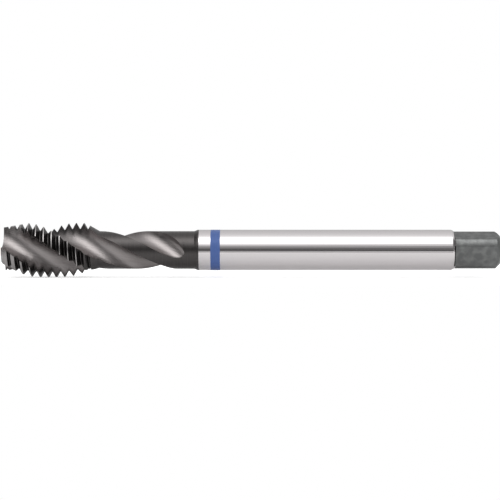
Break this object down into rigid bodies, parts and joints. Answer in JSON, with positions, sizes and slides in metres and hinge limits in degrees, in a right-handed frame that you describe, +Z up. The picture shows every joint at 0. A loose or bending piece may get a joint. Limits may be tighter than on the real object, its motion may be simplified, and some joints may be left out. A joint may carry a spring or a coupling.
{
  "type": "thread tap",
  "caption": "Machine tap with spiral flutes, a chamfered lead, a relieved neck, a plain round shank and a drive square.",
  "frame": {"origin": "on the tap's axis, at the centre of the drive square's end face", "axes": "+X along the tap's axis, from the tip towards the drive square, +Z up as the tap lies"},
  "size_m": [0.11, 0.012, 0.012],
  "materials": {
    "tool_steel": "ground shank, dark coated cutting part"
  },
  "bodies": {
    "root": {"thread_tap": "tool_steel"}
  },
  "joints": []
}
